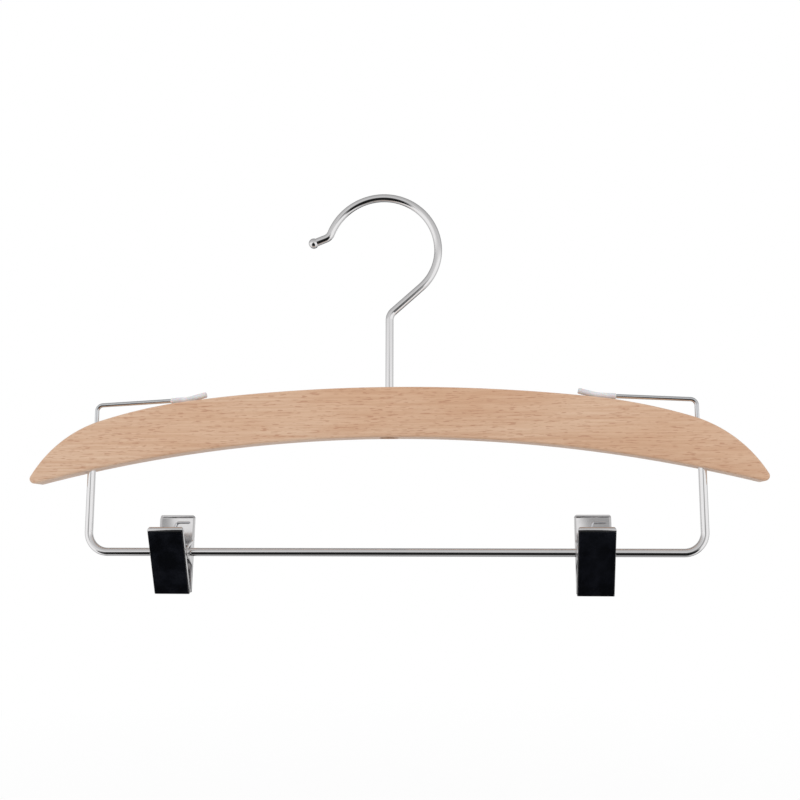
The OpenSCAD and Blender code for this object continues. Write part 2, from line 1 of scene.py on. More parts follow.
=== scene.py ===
# %% [markdown]
# A trouser hanger, dressed for the camera
# The construction of this hanger comes ready made: a wooden arc, a hook, a bar,
# two pinch clips and two spring wires, with their joints. This lesson gives each
# of them the shape and the finish that the eye expects: smooth drawn wire, sanded
# beech, pressed and plated sheet. Every length below is in metres, unless its
# cell says otherwise.

# %% Load the frame
import json
import math

import bpy
from mathutils import Matrix, Vector

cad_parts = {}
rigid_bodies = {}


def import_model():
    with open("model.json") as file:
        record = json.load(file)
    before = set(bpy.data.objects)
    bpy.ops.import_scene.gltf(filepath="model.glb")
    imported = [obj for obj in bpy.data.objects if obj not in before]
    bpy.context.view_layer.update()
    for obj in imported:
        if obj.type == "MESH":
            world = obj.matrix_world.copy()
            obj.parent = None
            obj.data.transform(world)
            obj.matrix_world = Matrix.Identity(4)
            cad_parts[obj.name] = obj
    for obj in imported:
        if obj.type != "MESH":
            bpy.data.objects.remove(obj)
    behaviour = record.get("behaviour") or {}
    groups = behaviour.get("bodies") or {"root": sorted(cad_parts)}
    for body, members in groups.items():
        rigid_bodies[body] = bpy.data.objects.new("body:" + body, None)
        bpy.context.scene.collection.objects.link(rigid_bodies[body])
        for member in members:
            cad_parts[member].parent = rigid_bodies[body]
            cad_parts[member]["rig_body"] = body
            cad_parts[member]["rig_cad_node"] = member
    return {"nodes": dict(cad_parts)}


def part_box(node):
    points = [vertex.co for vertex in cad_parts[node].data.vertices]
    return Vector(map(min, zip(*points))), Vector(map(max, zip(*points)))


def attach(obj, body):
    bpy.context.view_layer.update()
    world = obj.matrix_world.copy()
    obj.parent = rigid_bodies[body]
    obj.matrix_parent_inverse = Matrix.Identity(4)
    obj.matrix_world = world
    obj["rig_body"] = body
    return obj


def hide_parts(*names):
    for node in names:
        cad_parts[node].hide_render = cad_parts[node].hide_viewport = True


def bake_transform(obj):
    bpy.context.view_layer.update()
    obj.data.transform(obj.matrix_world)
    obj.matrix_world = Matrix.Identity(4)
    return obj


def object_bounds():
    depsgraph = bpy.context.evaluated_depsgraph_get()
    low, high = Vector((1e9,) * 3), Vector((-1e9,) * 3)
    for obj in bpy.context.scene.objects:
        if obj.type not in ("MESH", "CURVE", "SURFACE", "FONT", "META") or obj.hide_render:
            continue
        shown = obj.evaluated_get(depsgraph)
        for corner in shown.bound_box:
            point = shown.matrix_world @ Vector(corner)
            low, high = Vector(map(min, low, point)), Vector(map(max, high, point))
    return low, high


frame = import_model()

cad_low, cad_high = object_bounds()
print("CAD box:", [round(v, 4) for v in (*cad_low, *cad_high)])

# %% [markdown]
# The sizes
# A wire is easiest to think of in millimetres, so the sizes are written that way
# and turned into metres once. They are the sizes of the real piece: the hook and
# the bar are 4 mm wire, the spring wires are thinner, the arc is 12 mm thick. The
# origin is where the rail touches the inside of the hook's eye, above the stem.

# %% Sizes
MM = 0.001
WIRE_D = 4.0 * MM
LOOP_WIRE_D = 2.1 * MM
SLEEVE_D = 2.9 * MM

EYE_R = 26.2 * MM
EYE_OFFSET = 3.75 * MM  # from the stem to the middle of the eye
HOOK_DROP = 70.0 * MM  # from the middle of the eye to the top of the wood
BAR_DROP = 80.3 * MM  # from the top of the wood to the bar
BAR_HALF = 150.2 * MM
BAR_BEND_R = 10.0 * MM
CLIP_AT = {"left": -107.4 * MM, "right": 98.6 * MM}
SIDES = {"left": -1, "right": 1}

EYE_Z = -math.sqrt(EYE_R**2 - EYE_OFFSET**2)
WOOD_TOP = EYE_Z - HOOK_DROP
BAR_Z = WOOD_TOP - BAR_DROP
print("wood top", round(WOOD_TOP, 5), "bar", round(BAR_Z, 5))


# %% [markdown]
# Small habits that save trouble
# Operators act on everything that is selected, so each step starts by letting go
# of it all. A finished piece keeps its place in its mesh, and its object stays at
# the origin, so that patterns measured from the origin stay put.

# %% Helpers for selection and finishing
def let_go():
    """Leave edit mode and select nothing."""
    if bpy.context.object and bpy.context.object.mode != "OBJECT":
        bpy.ops.object.mode_set(mode="OBJECT")
    bpy.ops.object.select_all(action="DESELECT")


def take(piece):
    """Select one piece alone and make it the active one."""
    let_go()
    piece.hide_set(False)
    piece.select_set(True)
    bpy.context.view_layer.objects.active = piece


def apply_modifiers(piece):
    """Turn what a piece's modifiers show into its mesh."""
    take(piece)
    for modifier in list(piece.modifiers):
        bpy.ops.object.modifier_apply(modifier=modifier.name)


def shade_smooth(sharp_deg):
    """Shade the selected piece smooth, apart from its sharp edges."""
    bpy.ops.object.shade_smooth_by_angle(angle=math.radians(sharp_deg))


def tidy_selected(same_point, flat_deg=None):
    """Join doubled corners in edit mode, and flat neighbours too if asked."""
    bpy.ops.mesh.select_all(action="SELECT")
    bpy.ops.mesh.remove_doubles(threshold=same_point)
    if flat_deg is not None:
        bpy.ops.mesh.dissolve_limited(angle_limit=math.radians(flat_deg))
    bpy.ops.mesh.normals_make_consistent(inside=False)
    bpy.ops.object.mode_set(mode="OBJECT")


def clean_mesh(piece, sharp_deg, same_point=1e-7):
    """Join doubled corners, turn the faces outwards and shade the piece."""
    take(piece)
    bpy.ops.object.mode_set(mode="EDIT")
    tidy_selected(same_point)
    shade_smooth(sharp_deg)


def round_edges(piece, width, segments, sharp_deg):
    """Bevel every edge of a piece that is sharper than an angle."""
    rounding = piece.modifiers.new("rounding", "BEVEL")
    rounding.width, rounding.segments = width, segments
    rounding.limit_method, rounding.angle_limit = "ANGLE", math.radians(sharp_deg)
    apply_modifiers(piece)


def report_piece(piece):
    """Print how large a piece has come out."""
    size = [round(v / MM, 1) for v in piece.dimensions]
    print(piece.name, "mm", size, "faces", len(piece.data.polygons))


# %% [markdown]
# Drawing a wire
# A real hook is one straight wire, bent round pins. The same can be done with a
# disc: extruding it draws a straight run, and spinning it about a bend's centre
# turns it. The disc stays selected all the time, so run and bend can follow one
# another along the whole wire.

# %% The wire bench
WIRE_SIDES = 32
SPIN_AXIS = (0, 1, 0)  # a spin turns clockwise about its axis


def start_wire(name, diameter, foot, along, sides=WIRE_SIDES):
    """Lay down the disc that a wire is drawn from, facing along the wire."""
    let_go()
    turn = Vector(along).to_track_quat("Z", "Y").to_euler()
    bpy.ops.mesh.primitive_circle_add(
        vertices=sides, radius=diameter / 2, fill_type="NGON", location=foot, rotation=turn)
    piece = bpy.context.object
    piece.name = name
    bpy.ops.object.transform_apply(location=True, rotation=True, scale=True)
    bpy.ops.object.mode_set(mode="EDIT")
    bpy.ops.mesh.select_mode(type="FACE")
    bpy.ops.mesh.select_all(action="SELECT")
    return piece


def run_wire(move, steps=1):
    """Draw a straight run."""
    for _ in range(steps):
        bpy.ops.mesh.extrude_region_move(
            TRANSFORM_OT_translate={"value": tuple(Vector(move) / steps)})


def bend_wire(centre, degrees, step_deg=3.0):
    """Turn the wire about the centre of a bend."""
    steps = max(2, round(abs(degrees) / step_deg))
    bpy.ops.mesh.spin(
        steps=steps, angle=math.radians(degrees), center=tuple(centre), axis=SPIN_AXIS)


def finish_wire(piece, sharp_deg=40):
    """Close the work on a wire."""
    bpy.ops.object.mode_set(mode="OBJECT")
    clean_mesh(piece, sharp_deg)
    report_piece(piece)


def xz(x, z):
    """A point in the plane in which the wires are bent."""
    return Vector((x, 0, z))


def on_circle(centre, radius, degrees):
    """A point on a circle in that plane, with its degrees counted from X."""
    a = math.radians(degrees)
    return centre + radius * xz(math.cos(a), math.sin(a))


def heading(degrees):
    """A step of length one in that plane."""
    return on_circle(xz(0, 0), 1, degrees)


# %% [markdown]
# The hook
# The hook starts at the foot of its stem, inside the wood. It bends outwards to a
# slanting run, turns in through the tighter cheek, goes round the eye and ends in
# a small outward bend with a ball, so that it doesn't scratch the rail.

# %% Model the hook
EYE_LINE_R = EYE_R + WIRE_D / 2
CHEEK_R, CHEEK_DEG = 24.9 * MM, 48.8
STEM_BEND_R = 6.0 * MM
TIP_AT, TIP_TURN = 158.5, 47.5  # degrees round the eye, and of the outward bend
TIP_BEND_R, TIP_RUN = 5.0 * MM, 6.5 * MM
BALL_D = 5.2 * MM
FINE_STEP = 2.0  # degrees between the rings of a wide bend

eye_c = xz(-EYE_OFFSET, EYE_Z)
cheek_c = xz(-EYE_OFFSET + EYE_LINE_R - CHEEK_R, EYE_Z)
cheek = math.radians(CHEEK_DEG)
cheek_out = heading(-CHEEK_DEG)
cheek_end = cheek_c + CHEEK_R * cheek_out
slant_length = (cheek_end.x - STEM_BEND_R + STEM_BEND_R * cheek_out.x) / math.sin(cheek)
slant_up = xz(math.sin(cheek), math.cos(cheek))
slant_end = cheek_end - slant_up * slant_length
stem_bend_c = slant_end + STEM_BEND_R * cheek_out
stem_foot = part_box("hook")[0].z
tip_bend_c = on_circle(eye_c, EYE_LINE_R + TIP_BEND_R, TIP_AT)
tip_way = heading(TIP_AT + 90 - TIP_TURN)
tip_end = on_circle(tip_bend_c, TIP_BEND_R, TIP_AT + 180 - TIP_TURN) + tip_way * TIP_RUN

hook = start_wire("hook_wire", WIRE_D, xz(0, stem_foot), (0, 0, 1))
run_wire((0, 0, stem_bend_c.z - stem_foot), steps=8)
bend_wire(stem_bend_c, -CHEEK_DEG)
run_wire(slant_up * slant_length, steps=4)
bend_wire(cheek_c, CHEEK_DEG, FINE_STEP)
bend_wire(eye_c, TIP_AT, FINE_STEP)
bend_wire(tip_bend_c, -TIP_TURN)
run_wire(tip_way * TIP_RUN, steps=2)
finish_wire(hook)

let_go()
bpy.ops.mesh.primitive_uv_sphere_add(
    segments=48, ring_count=24, radius=BALL_D / 2, location=tip_end)
bpy.ops.object.transform_apply(location=True, rotation=True, scale=True)
bpy.ops.object.shade_smooth()
hook.select_set(True)
bpy.context.view_layer.objects.active = hook
bpy.ops.object.join()
report_piece(hook)
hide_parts("hook")
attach(hook, "hook")


# %% [markdown]
# The arc of beech
# The arc is cut from a flat board and its edges are rounded over on a router. So
# its outline comes first: a disc with as many corners as the outline needs, each
# moved to its place on the crown, shoulder, end, tip and underside curves. The
# board is then extruded through its thickness and its two rims are bevelled.

# %% The outline of the arc
HALF_LENGTH = 180.0 * MM
THICKNESS = 12.0 * MM
MID_HEIGHT = 24.7 * MM
CROWN_R, SHOULDER_R, UNDER_R, TIP_R = 855 * MM, 255 * MM, 725 * MM, 2.4 * MM
SHOULDER_RUN, END_RUN = 47 * MM, 34.5 * MM  # lengths along X
EDGE_ROUND = 1.2 * MM


def from_top(centre, radius, degrees):
    """A point on a circle, with its degrees counted from the top to the right."""
    return on_circle(centre, radius, 90 - degrees)


# The crown and the shoulder touch at a common tangent. The end curve leaves the
# shoulder in the same way and closes on the small round of the tip.
shoulder_end = HALF_LENGTH - END_RUN
crown_end = shoulder_end - SHOULDER_RUN
crown_deg = math.degrees(math.asin(crown_end / CROWN_R))
crown_c = xz(0, WOOD_TOP - CROWN_R)
shoulder_c = from_top(crown_c, CROWN_R - SHOULDER_R, crown_deg)
shoulder_deg = math.degrees(math.asin((shoulder_end - shoulder_c.x) / SHOULDER_R))
shoulder_n = heading(90 - shoulder_deg)
shoulder_p = shoulder_c + SHOULDER_R * shoulder_n
under_c = xz(0, WOOD_TOP - MID_HEIGHT - UNDER_R)
tip_x = HALF_LENGTH - TIP_R
tip_c = xz(tip_x, under_c.z + math.sqrt((UNDER_R + TIP_R) ** 2 - tip_x**2))
tip_v = shoulder_p - tip_c
end_r = (tip_v.dot(tip_v) - TIP_R**2) / (2 * (tip_v.dot(shoulder_n) - TIP_R))
end_c = shoulder_p - end_r * shoulder_n
end_deg = math.degrees(math.atan2(tip_c.x - end_c.x, tip_c.z - end_c.z))
under_deg = math.degrees(math.asin(tip_x / (UNDER_R + TIP_R)))

# centre, radius, first degree, last degree and number of corners of each curve
CURVES = (
    (crown_c, CROWN_R, 0, crown_deg, 40),
    (shoulder_c, SHOULDER_R, crown_deg, shoulder_deg, 24),
    (end_c, end_r, shoulder_deg, end_deg, 30),
    (tip_c, TIP_R, end_deg, 180 + under_deg, 16),
    (under_c, UNDER_R, under_deg, 0, 60),
)
right_half = [from_top(centre, radius, start + (stop - start) * i / count)
              for centre, radius, start, stop, count in CURVES for i in range(count)]
right_half.append(from_top(under_c, UNDER_R, 0))
outline = right_half + [xz(-p.x, p.z) for p in reversed(right_half[1:-1])]
print("outline corners", len(outline), "middle of the underside", round(right_half[-1].z, 5))


def top_z(x):
    """The height of the arc's top edge."""
    for centre, radius, limit in ((crown_c, CROWN_R, crown_end),
                                  (shoulder_c, SHOULDER_R, shoulder_end),
                                  (end_c, end_r, HALF_LENGTH)):
        if x < limit:
            break
    return centre.z + math.sqrt(radius**2 - (x - centre.x) ** 2)


def under_z(x):
    """The height of the arc's lower edge."""
    return under_c.z + math.sqrt(UNDER_R**2 - x**2)


# %% Cut the board and round its rims
IN_ONE_PLANE = 1e-6

let_go()
bpy.ops.mesh.primitive_circle_add(
    vertices=len(outline), radius=HALF_LENGTH, fill_type="NGON")
arc = bpy.context.object
arc.name = "wooden_arc"
for vertex, corner in zip(arc.data.vertices, outline):
    vertex.co = (corner.x, -THICKNESS / 2, corner.z)
bpy.ops.object.mode_set(mode="EDIT")
bpy.ops.mesh.select_all(action="SELECT")
run_wire((0, THICKNESS, 0))
bpy.ops.mesh.select_all(action="SELECT")
bpy.ops.mesh.normals_make_consistent(inside=False)
bpy.ops.mesh.select_all(action="DESELECT")
bpy.ops.object.mode_set(mode="OBJECT")
for edge in arc.data.edges:
    a, b = (arc.data.vertices[i].co for i in edge.vertices)
    edge.select = abs(a.y - b.y) < IN_ONE_PLANE
bpy.ops.object.mode_set(mode="EDIT")
bpy.ops.mesh.select_mode(type="EDGE")
bpy.ops.mesh.bevel(offset=EDGE_ROUND, segments=6, profile=0.5, clamp_overlap=False)
bpy.ops.object.mode_set(mode="OBJECT")
report_piece(arc)

# %% [markdown]
# Holes in the arc
# The stem of the hook runs through the middle and is held from below by a nut in
# a round pocket. The bar's legs and the spring wires stand in drilled holes. They
# are drilled the same way here: each drill is a cylinder, taken away from the
# board. A drill's middle lies a little outside the wood, so its mouth is clean.

# %% Drill the arc
LOOP_X = BAR_HALF - 1.5 * MM
STEM_DRILL = (2.12 * MM, 40 * MM)  # radius and length
NUT_DRILL = (4.7 * MM, 22 * MM)
BAR_DRILL = (2.06 * MM, 24 * MM)
LOOP_DRILL = (1.06 * MM, 16 * MM)
DRILL_OUT = 1 * MM

wood_middle = WOOD_TOP - MID_HEIGHT / 2
drill_places = [
    (0, wood_middle, STEM_DRILL),
    (0, WOOD_TOP - MID_HEIGHT - DRILL_OUT, NUT_DRILL),
    *[(side * BAR_HALF, under_z(BAR_HALF) - DRILL_OUT, BAR_DRILL) for side in SIDES.values()],
    *[(side * LOOP_X, top_z(LOOP_X) + DRILL_OUT, LOOP_DRILL) for side in SIDES.values()],
]
drills = []
for x, z, (radius, length) in drill_places:
    let_go()
    bpy.ops.mesh.primitive_cylinder_add(
        vertices=48, radius=radius, depth=length, location=(x, 0, z))
    drills.append(bpy.context.object)
for drill in drills:
    cut = arc.modifiers.new("drill", "BOOLEAN")
    cut.operation, cut.solver, cut.object = "DIFFERENCE", "EXACT", drill
apply_modifiers(arc)
for drill in drills:
    bpy.data.objects.remove(drill)
take(arc)
shade_smooth(32)
report_piece(arc)
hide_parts("wood_body")
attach(arc, "hanger")

# %% [markdown]
# The trouser bar
# One wire again: down the left leg, round the corner, along under the arc, round
# the other corner and up. Its ends disappear in the sockets drilled above.

# %% Model the trouser bar
SOCKET_DEPTH = 11 * MM

corner_z = BAR_Z + BAR_BEND_R
socket_z = under_z(BAR_HALF) + SOCKET_DEPTH
straight = 2 * (BAR_HALF - BAR_BEND_R)
bar = start_wire("trouser_bar_wire", WIRE_D, xz(-BAR_HALF, socket_z), (0, 0, -1))
run_wire((0, 0, corner_z - socket_z), steps=6)
bend_wire(xz(-BAR_HALF + BAR_BEND_R, corner_z), 90)
run_wire((straight, 0, 0), steps=24)
bend_wire(xz(BAR_HALF - BAR_BEND_R, corner_z), 90)
run_wire((0, 0, socket_z - corner_z), steps=6)
finish_wire(bar)
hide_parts("trouser_bar")
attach(bar, "hanger")

# %% [markdown]
# The spring wires with their sleeves
# Each spring wire stands in the arc, turns a tight corner and lies along the top
# edge. The real wire flexes in its upright, so the piece is one wire from root to
# tip, with many rings along its upright. A soft sleeve keeps its end from
# snagging cloth. The right one is worked out, and the left one is its mirror
# image.

# %% Model the spring wires and sleeves
LOOP_BEND_R, ARM_DEG, TIP_DEG = 3.0 * MM, 3.0, 15.0
TIP_LIFT_R, LOOP_TIP_RUN = 20.0 * MM, 6.7 * MM
REST_AT, REST_GAP = 102.0 * MM, 0.1 * MM  # where the sleeve rests on the wood
ROOT_DEPTH, ROOT_OUT = 8 * MM, 1 * MM
SLEEVE_STRAIGHT, SLEEVE_CAP, SLEEVE_ROUND = 6.9 * MM, 0.8 * MM, 0.55 * MM

arm = math.radians(ARM_DEG)
rest_deg = math.degrees(math.asin((REST_AT - shoulder_c.x) / SHOULDER_R))
lift_c = from_top(shoulder_c, SHOULDER_R + REST_GAP + SLEEVE_D / 2 + TIP_LIFT_R, rest_deg)
arm_end = on_circle(lift_c, TIP_LIFT_R, 270 - ARM_DEG)
arm_way = -heading(-ARM_DEG)
lift_way = -heading(-TIP_DEG)
corner_x = LOOP_X - LOOP_BEND_R
corner_c = xz(corner_x, arm_end.z - (corner_x - arm_end.x) * math.tan(arm)
              - LOOP_BEND_R / math.cos(arm))
arm_length = (arm_end - on_circle(corner_c, LOOP_BEND_R, 90 - ARM_DEG)).length
root_top = top_z(LOOP_X) + ROOT_OUT
root_foot = top_z(LOOP_X) - ROOT_DEPTH
print("arm mm", round(arm_length / MM, 2), "corner", [round(v / MM, 2) for v in corner_c])


def aside(point, side):
    """The point itself on the right side, and its mirror image on the left."""
    return Vector((side * point.x, point.y, point.z))


def lift_tip(side, length, steps):
    """Lift the end of a wire or of its sleeve off the wood."""
    bend_wire(aside(lift_c, side), -side * (TIP_DEG - ARM_DEG), FINE_STEP)
    run_wire(aside(lift_way, side) * length, steps)


loop_pieces = {}
for name, side in SIDES.items():
    foot = xz(side * LOOP_X, root_foot)
    wire = start_wire(name + "_spring_wire", LOOP_WIRE_D, foot, (0, 0, 1), sides=24)
    run_wire((0, 0, root_top - root_foot), steps=3)
    run_wire((0, 0, corner_c.z - root_top), steps=12)
    bend_wire(aside(corner_c, side), side * (90 - ARM_DEG), step_deg=6)
    run_wire(aside(arm_way, side) * arm_length, steps=6)
    lift_tip(side, LOOP_TIP_RUN, steps=2)
    finish_wire(wire)
    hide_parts(name + "_loop_wire_root", name + "_loop_wire")
    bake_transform(wire)

    foot = aside(arm_end - arm_way * SLEEVE_STRAIGHT, side)
    sleeve = start_wire(name + "_sleeve", SLEEVE_D, foot, aside(arm_way, side), sides=28)
    run_wire(aside(arm_way, side) * SLEEVE_STRAIGHT, steps=4)
    lift_tip(side, LOOP_TIP_RUN + SLEEVE_CAP, steps=4)
    finish_wire(sleeve)
    round_edges(sleeve, SLEEVE_ROUND, segments=4, sharp_deg=60)
    shade_smooth(50)
    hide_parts(name + "_loop_wire_sleeve")
    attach(sleeve, name + "_loop")
    loop_pieces[name] = (wire, sleeve)


# %% [markdown]
# Pressed and turned small parts
# Jaws, covers, nut and washer already have their true shapes. Cut from a drawing,
# their edges are knife sharp, though, and sheet that has been through a press has
# a small rounding that catches the light. So each is copied, its loose triangles
# are merged to whole faces, and a fine bevel goes over its edges.

# %% Copy and soften the small parts
def softened(node, name, width, segments=2):
    """Copy a ready-made part and round its edges."""
    take(frame["nodes"][node])
    bpy.ops.object.duplicate()
    piece = bpy.context.object
    bpy.ops.object.parent_clear(type="CLEAR")
    piece.name = name
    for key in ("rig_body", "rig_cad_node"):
        if key in piece:
            del piece[key]
    piece.data.materials.clear()
    bpy.ops.object.mode_set(mode="EDIT")
    bpy.ops.mesh.customdata_custom_splitnormals_clear()
    tidy_selected(same_point=2e-6, flat_deg=0.5)
    round_edges(piece, width, segments, sharp_deg=50)
    shade_smooth(45)
    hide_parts(node)
    report_piece(piece)
    return piece


clip_pieces = {}
for name in SIDES:
    for which in ("front", "back"):
        jaw = softened(f"{name}_clip_{which}_jaw", f"{name}_{which}_jaw", 0.12 * MM)
        # the covers are sheets laid on the jaws' faces, which carry their painted dark reflection
        cover = softened(f"{name}_clip_{which}_cover", f"{name}_{which}_cover", 0.22 * MM, 3)
        for piece in (jaw, cover):
            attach(piece, f"{name}_clip_{which}")
        clip_pieces[name, which] = (jaw, cover)
nut = softened("hook_nut", "lock_nut", 0.15 * MM)
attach(nut, "hook")
washer = softened("hook_washer", "seat_washer", 0.12 * MM)
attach(washer, "hanger")

# %% [markdown]
# The springs of the clips
# A clip closes by a wire spring wound round the bar, with one leg pushing on each
# handle. Its course is a line in space: sideways end, leg, coil, leg and sideways
# end. A curve with a round section follows it, and is then made a mesh. The course
# is worked out in millimetres and degrees from the bar's own axis, and set in its
# place at the end.

# %% Wind the springs
COIL_R, COIL_WIRE_D, COIL_TURNS, COIL_PITCH = 3.05, 1.1, 6, 1.6
COIL_STEP = 15  # degrees between two points of the coil
FRONT_LEG, BACK_LEG = 13.0, 14.9
FRONT_TILT, BACK_TILT = 25.0, 4.0
LEG_TIP_AT, LEG_CORNER_AT, LEG_CORNER_R, LEG_CORNER_STEPS = 6.0, 0.2, 1.3, 8
JAW_FACE, SHEET, LEG_GAP = 7.0, 0.8, 0.1

leg_off = JAW_FACE - SHEET - LEG_GAP - COIL_WIRE_D / 2  # from the axis to a leg


def leg_touch(height):
    """The degrees at which a leg of this height leaves the coil."""
    return math.degrees(
        math.acos(COIL_R / math.hypot(leg_off, height)) - math.atan2(height, leg_off))


coil_start = -BACK_TILT - leg_touch(BACK_LEG)
coil_stop = -(360 * COIL_TURNS + 180) + FRONT_TILT + leg_touch(FRONT_LEG)
coil_count = round((coil_start - coil_stop) / COIL_STEP)
coil_half = COIL_PITCH * (coil_start - coil_stop) / 360 / 2


def coil_point(i):
    """A point of the coil, from 0 to coil_count."""
    a = math.radians(coil_start + (coil_stop - coil_start) * i / coil_count)
    x = coil_half * (2 * i / coil_count - 1)
    return Vector((x, COIL_R * math.cos(a), COIL_R * math.sin(a)))


def on_leg(x, height, tilt_deg, way):
    """A point at the top of a leg, on the back jaw (way 1) or the front one (-1)."""
    tilt = math.radians(tilt_deg)
    return Vector((x, way * (height * math.sin(tilt) + leg_off * math.cos(tilt)),
                   height * math.cos(tilt) - leg_off * math.sin(tilt)))


def leg(tip, corner, coil):
    """The tip of a leg and the rounded corner that leads on to the coil."""
    p = corner + LEG_CORNER_R * (tip - corner).normalized()
    q = corner + LEG_CORNER_R * (coil - corner).normalized()
    shares = (i / LEG_CORNER_STEPS for i in range(LEG_CORNER_STEPS + 1))
    return [tip, *((1 - t) ** 2 * p + 2 * t * (1 - t) * corner + t**2 * q for t in shares)]


back_leg = leg(on_leg(LEG_TIP_AT, BACK_LEG, BACK_TILT, 1),
               on_leg(-LEG_CORNER_AT, BACK_LEG, BACK_TILT, 1), coil_point(0))
front_leg = leg(on_leg(-LEG_TIP_AT, FRONT_LEG, FRONT_TILT, -1),
                on_leg(LEG_CORNER_AT, FRONT_LEG, FRONT_TILT, -1), coil_point(coil_count))
course = back_leg + [coil_point(i) for i in range(coil_count + 1)] + front_leg[::-1]
print("spring points", len(course), "coil half mm", round(coil_half, 2))

for name, clip_x in CLIP_AT.items():
    let_go()
    bpy.ops.curve.primitive_nurbs_path_add(location=(0, 0, 0))
    curve = bpy.context.object.data
    bpy.context.object.name = name + "_clip_coil"
    curve.splines.clear()
    spline = curve.splines.new("POLY")
    spline.points.add(len(course) - 1)
    for point, spot in zip(spline.points, course):
        point.co = (*(spot * MM + Vector((clip_x, 0, BAR_Z))), 1)
    curve.dimensions, curve.twist_mode = "3D", "MINIMUM"
    curve.bevel_depth, curve.bevel_resolution = COIL_WIRE_D / 2 * MM, 4
    curve.use_fill_caps = True
    bpy.ops.object.convert(target="MESH")
    spring = bpy.context.object
    clean_mesh(spring, 50)
    report_piece(spring)
    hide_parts(name + "_clip_spring")
    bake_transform(spring)
    clip_pieces[name, "spring"] = spring


# %% [markdown]
# Building materials from nodes
# Each finish starts from one shader with its plain values set on its own sockets.
# Detail is added with noise measured on the piece itself, so that it stays in
# place when the piece moves.

# %% A bench for materials
def new_finish(name, **values):
    """A new material, with plain values for the sockets of its shader."""
    finish = bpy.data.materials.new(name)
    finish.use_nodes = True
    tree = finish.node_tree
    shader = tree.nodes["Principled BSDF"]
    for socket, value in values.items():
        shader.inputs[socket.replace("_", " ")].default_value = value
    return finish, tree, shader


def add_node(tree, kind, **settings):
    """A new node with its settings."""
    node = tree.nodes.new(kind)
    for key, value in settings.items():
        setattr(node, key, value)
    return node


def feed(tree, socket, value):
    """Give a socket a plain value, or link another socket to it."""
    if isinstance(value, bpy.types.NodeSocket):
        tree.links.new(value, socket)
    else:
        socket.default_value = value


def stretched_noise(tree, scale, detail=3.0, roughness=0.55, offset=(0, 0, 0)):
    """Noise on the piece, with its own scale along X, Y and Z."""
    spot = add_node(tree, "ShaderNodeTexCoord")
    mapping = add_node(tree, "ShaderNodeMapping")
    mapping.inputs["Scale"].default_value = scale
    mapping.inputs["Location"].default_value = offset
    noise = add_node(tree, "ShaderNodeTexNoise")
    noise.inputs["Scale"].default_value = 1.0
    noise.inputs["Detail"].default_value = detail
    noise.inputs["Roughness"].default_value = roughness
    tree.links.new(spot.outputs["Object"], mapping.inputs["Vector"])
    tree.links.new(mapping.outputs["Vector"], noise.inputs["Vector"])
    return noise.outputs["Fac"]


def spread(tree, value, low, high, to_low=0.0, to_high=1.0):
    """Stretch the range from low to high to another one, and cut off the rest."""
    node = add_node(tree, "ShaderNodeMapRange", clamp=True)
    ends = {"From Min": low, "From Max": high, "To Min": to_low, "To Max": to_high}
    for socket, number in ends.items():
        node.inputs[socket].default_value = number
    tree.links.new(value, node.inputs["Value"])
    return node.outputs["Result"]


def mixed(tree, factor, a, b):
    """A mix of two colours."""
    node = add_node(tree, "ShaderNodeMix", data_type="RGBA")
    tree.links.new(factor, node.inputs["Factor"])
    colours = [s for s in node.inputs if s.type == "RGBA"]
    for socket, value in zip(colours, (a, b)):
        feed(tree, socket, value)
    return next(s for s in node.outputs if s.type == "RGBA")


def calc(tree, operation, a, b=None):
    """A sum with one or two values."""
    node = add_node(tree, "ShaderNodeMath", operation=operation)
    for socket, value in zip(node.inputs, (a, b)):
        if value is not None:
            feed(tree, socket, value)
    return node.outputs[0]


def bumped(tree, shader, height, distance, strength):
    """Give a shader fine relief."""
    node = add_node(tree, "ShaderNodeBump")
    node.inputs["Distance"].default_value = distance
    node.inputs["Strength"].default_value = strength
    tree.links.new(height, node.inputs["Height"])
    tree.links.new(node.outputs["Normal"], shader.inputs["Normal"])


def srgb(r, g, b):
    """A colour as a screen names it, from 0 to 255."""
    def straight(v):
        v /= 255
        return v / 12.92 if v <= 0.04045 else ((v + 0.055) / 1.055) ** 2.4
    return (straight(r), straight(g), straight(b), 1)


def grey(value):
    """A plain grey, from 0 to 1."""
    return (value, value, value, 1)


# %% [markdown]
# Beech
# Steamed beech is pinkish tan and nearly plain, with long faint streaks and many
# short dark flecks, all along the grain. The grain runs along X here, so every
# noise is stretched that way. The flecks are the peaks of a fine noise. A little
# sheen stands for the fine fibres, which pale the surface where it turns away.

# %% Make the beech
beech, tree, shader = new_finish(
    "sanded_beech", Roughness=0.5, Sheen_Weight=0.4, Sheen_Roughness=0.45)
broad = spread(tree, stretched_noise(tree, (9, 40, 26), 2), 0.35, 0.65)
streak = spread(tree, stretched_noise(tree, (14, 330, 420), 4, 0.62), 0.35, 0.68)
hair = spread(tree, stretched_noise(tree, (32, 900, 1100), 3, 0.7, (5, 2, 7)), 0.42, 0.62)
pore = spread(tree, stretched_noise(tree, (380, 4200, 5200), 2, 0.6, (3, 1, 2)), 0.56, 0.70)
fleck = spread(tree, stretched_noise(tree, (270, 1900, 2300), 0.5, 0.5), 0.635, 0.70)
tan_mix = mixed(tree, broad, srgb(207, 169, 138), srgb(216, 185, 158))
for pattern, share, colour in (
    (streak, 0.38, srgb(192, 147, 114)),
    (hair, 0.42, srgb(185, 137, 104)),
    (pore, 0.25, srgb(171, 122, 91)),
    (fleck, 0.45, srgb(160, 100, 68)),
):
    tan_mix = mixed(tree, spread(tree, pattern, 0, 1, 0, share), tan_mix, colour)
tree.links.new(tan_mix, shader.inputs["Base Color"])
tree.links.new(spread(tree, streak, 0, 1, 0.42, 0.58), shader.inputs["Roughness"])
bumped(tree, shader, spread(tree, pore, 0, 1, 1, 0), 0.00002, 0.6)
